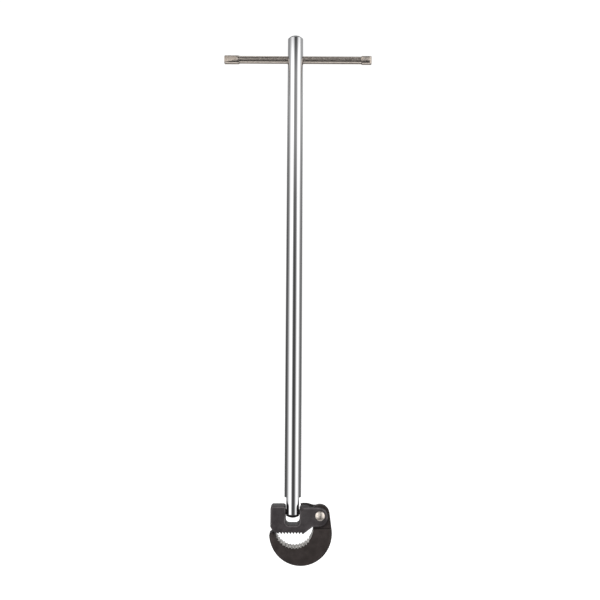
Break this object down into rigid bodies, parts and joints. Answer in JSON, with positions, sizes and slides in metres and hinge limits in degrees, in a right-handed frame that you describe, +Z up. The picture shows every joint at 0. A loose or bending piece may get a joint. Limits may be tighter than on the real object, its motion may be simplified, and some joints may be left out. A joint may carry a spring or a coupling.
{
  "type": "basin wrench",
  "caption": "Basin wrench: a round shaft with a sliding cross bar, and a swivelling toothed head with a spring-closed hook jaw for nuts in deep, narrow places.",
  "frame": {"origin": "where the cross bar's axis meets the shaft's axis, near the shaft's top", "axes": "+Z up along the shaft away from the head, +X along the cross bar towards the jaw's pivot side, +Y towards the back of the head"},
  "size_m": [0.1174, 0.0174, 0.4082],
  "materials": {
    "chrome": "polished chrome plate",
    "nickel": "dull nickel plate",
    "black_steel": "black oxide on forged steel",
    "brown_steel": "browned black oxide on forged steel",
    "zinc": "bright zinc plate",
    "spring_steel": "oil-blackened spring wire"
  },
  "bodies": {
    "shaft": {"shaft": "chrome"},
    "cross_bar": {"t_bar": "nickel"},
    "head": {"head_body": "black_steel", "swivel_pin": "zinc", "jaw_pin": "zinc", "jaw_spring": "spring_steel"},
    "jaw": {"hook_jaw": "brown_steel"}
  },
  "joints": [
    {"name": "bar_slide", "type": "slide", "parent": "shaft", "child": "cross_bar", "axis": [1, 0, 0], "range_m": [-0.0462, 0.0375]},
    {"name": "head_swivel", "type": "hinge", "parent": "shaft", "child": "head", "pos_m": [0, 0, -0.3509], "axis": [1, 0, 0], "range_deg": [-90, 90]},
    {"name": "jaw_pivot", "type": "hinge", "parent": "head", "child": "jaw", "pos_m": [0.0201, 0, -0.3525], "axis": [0, -1, 0], "range_deg": [0, 75], "stiffness_Nm_per_rad": 0.08, "springref_deg": -68.75, "deforming": ["jaw_spring"]}
  ]
}
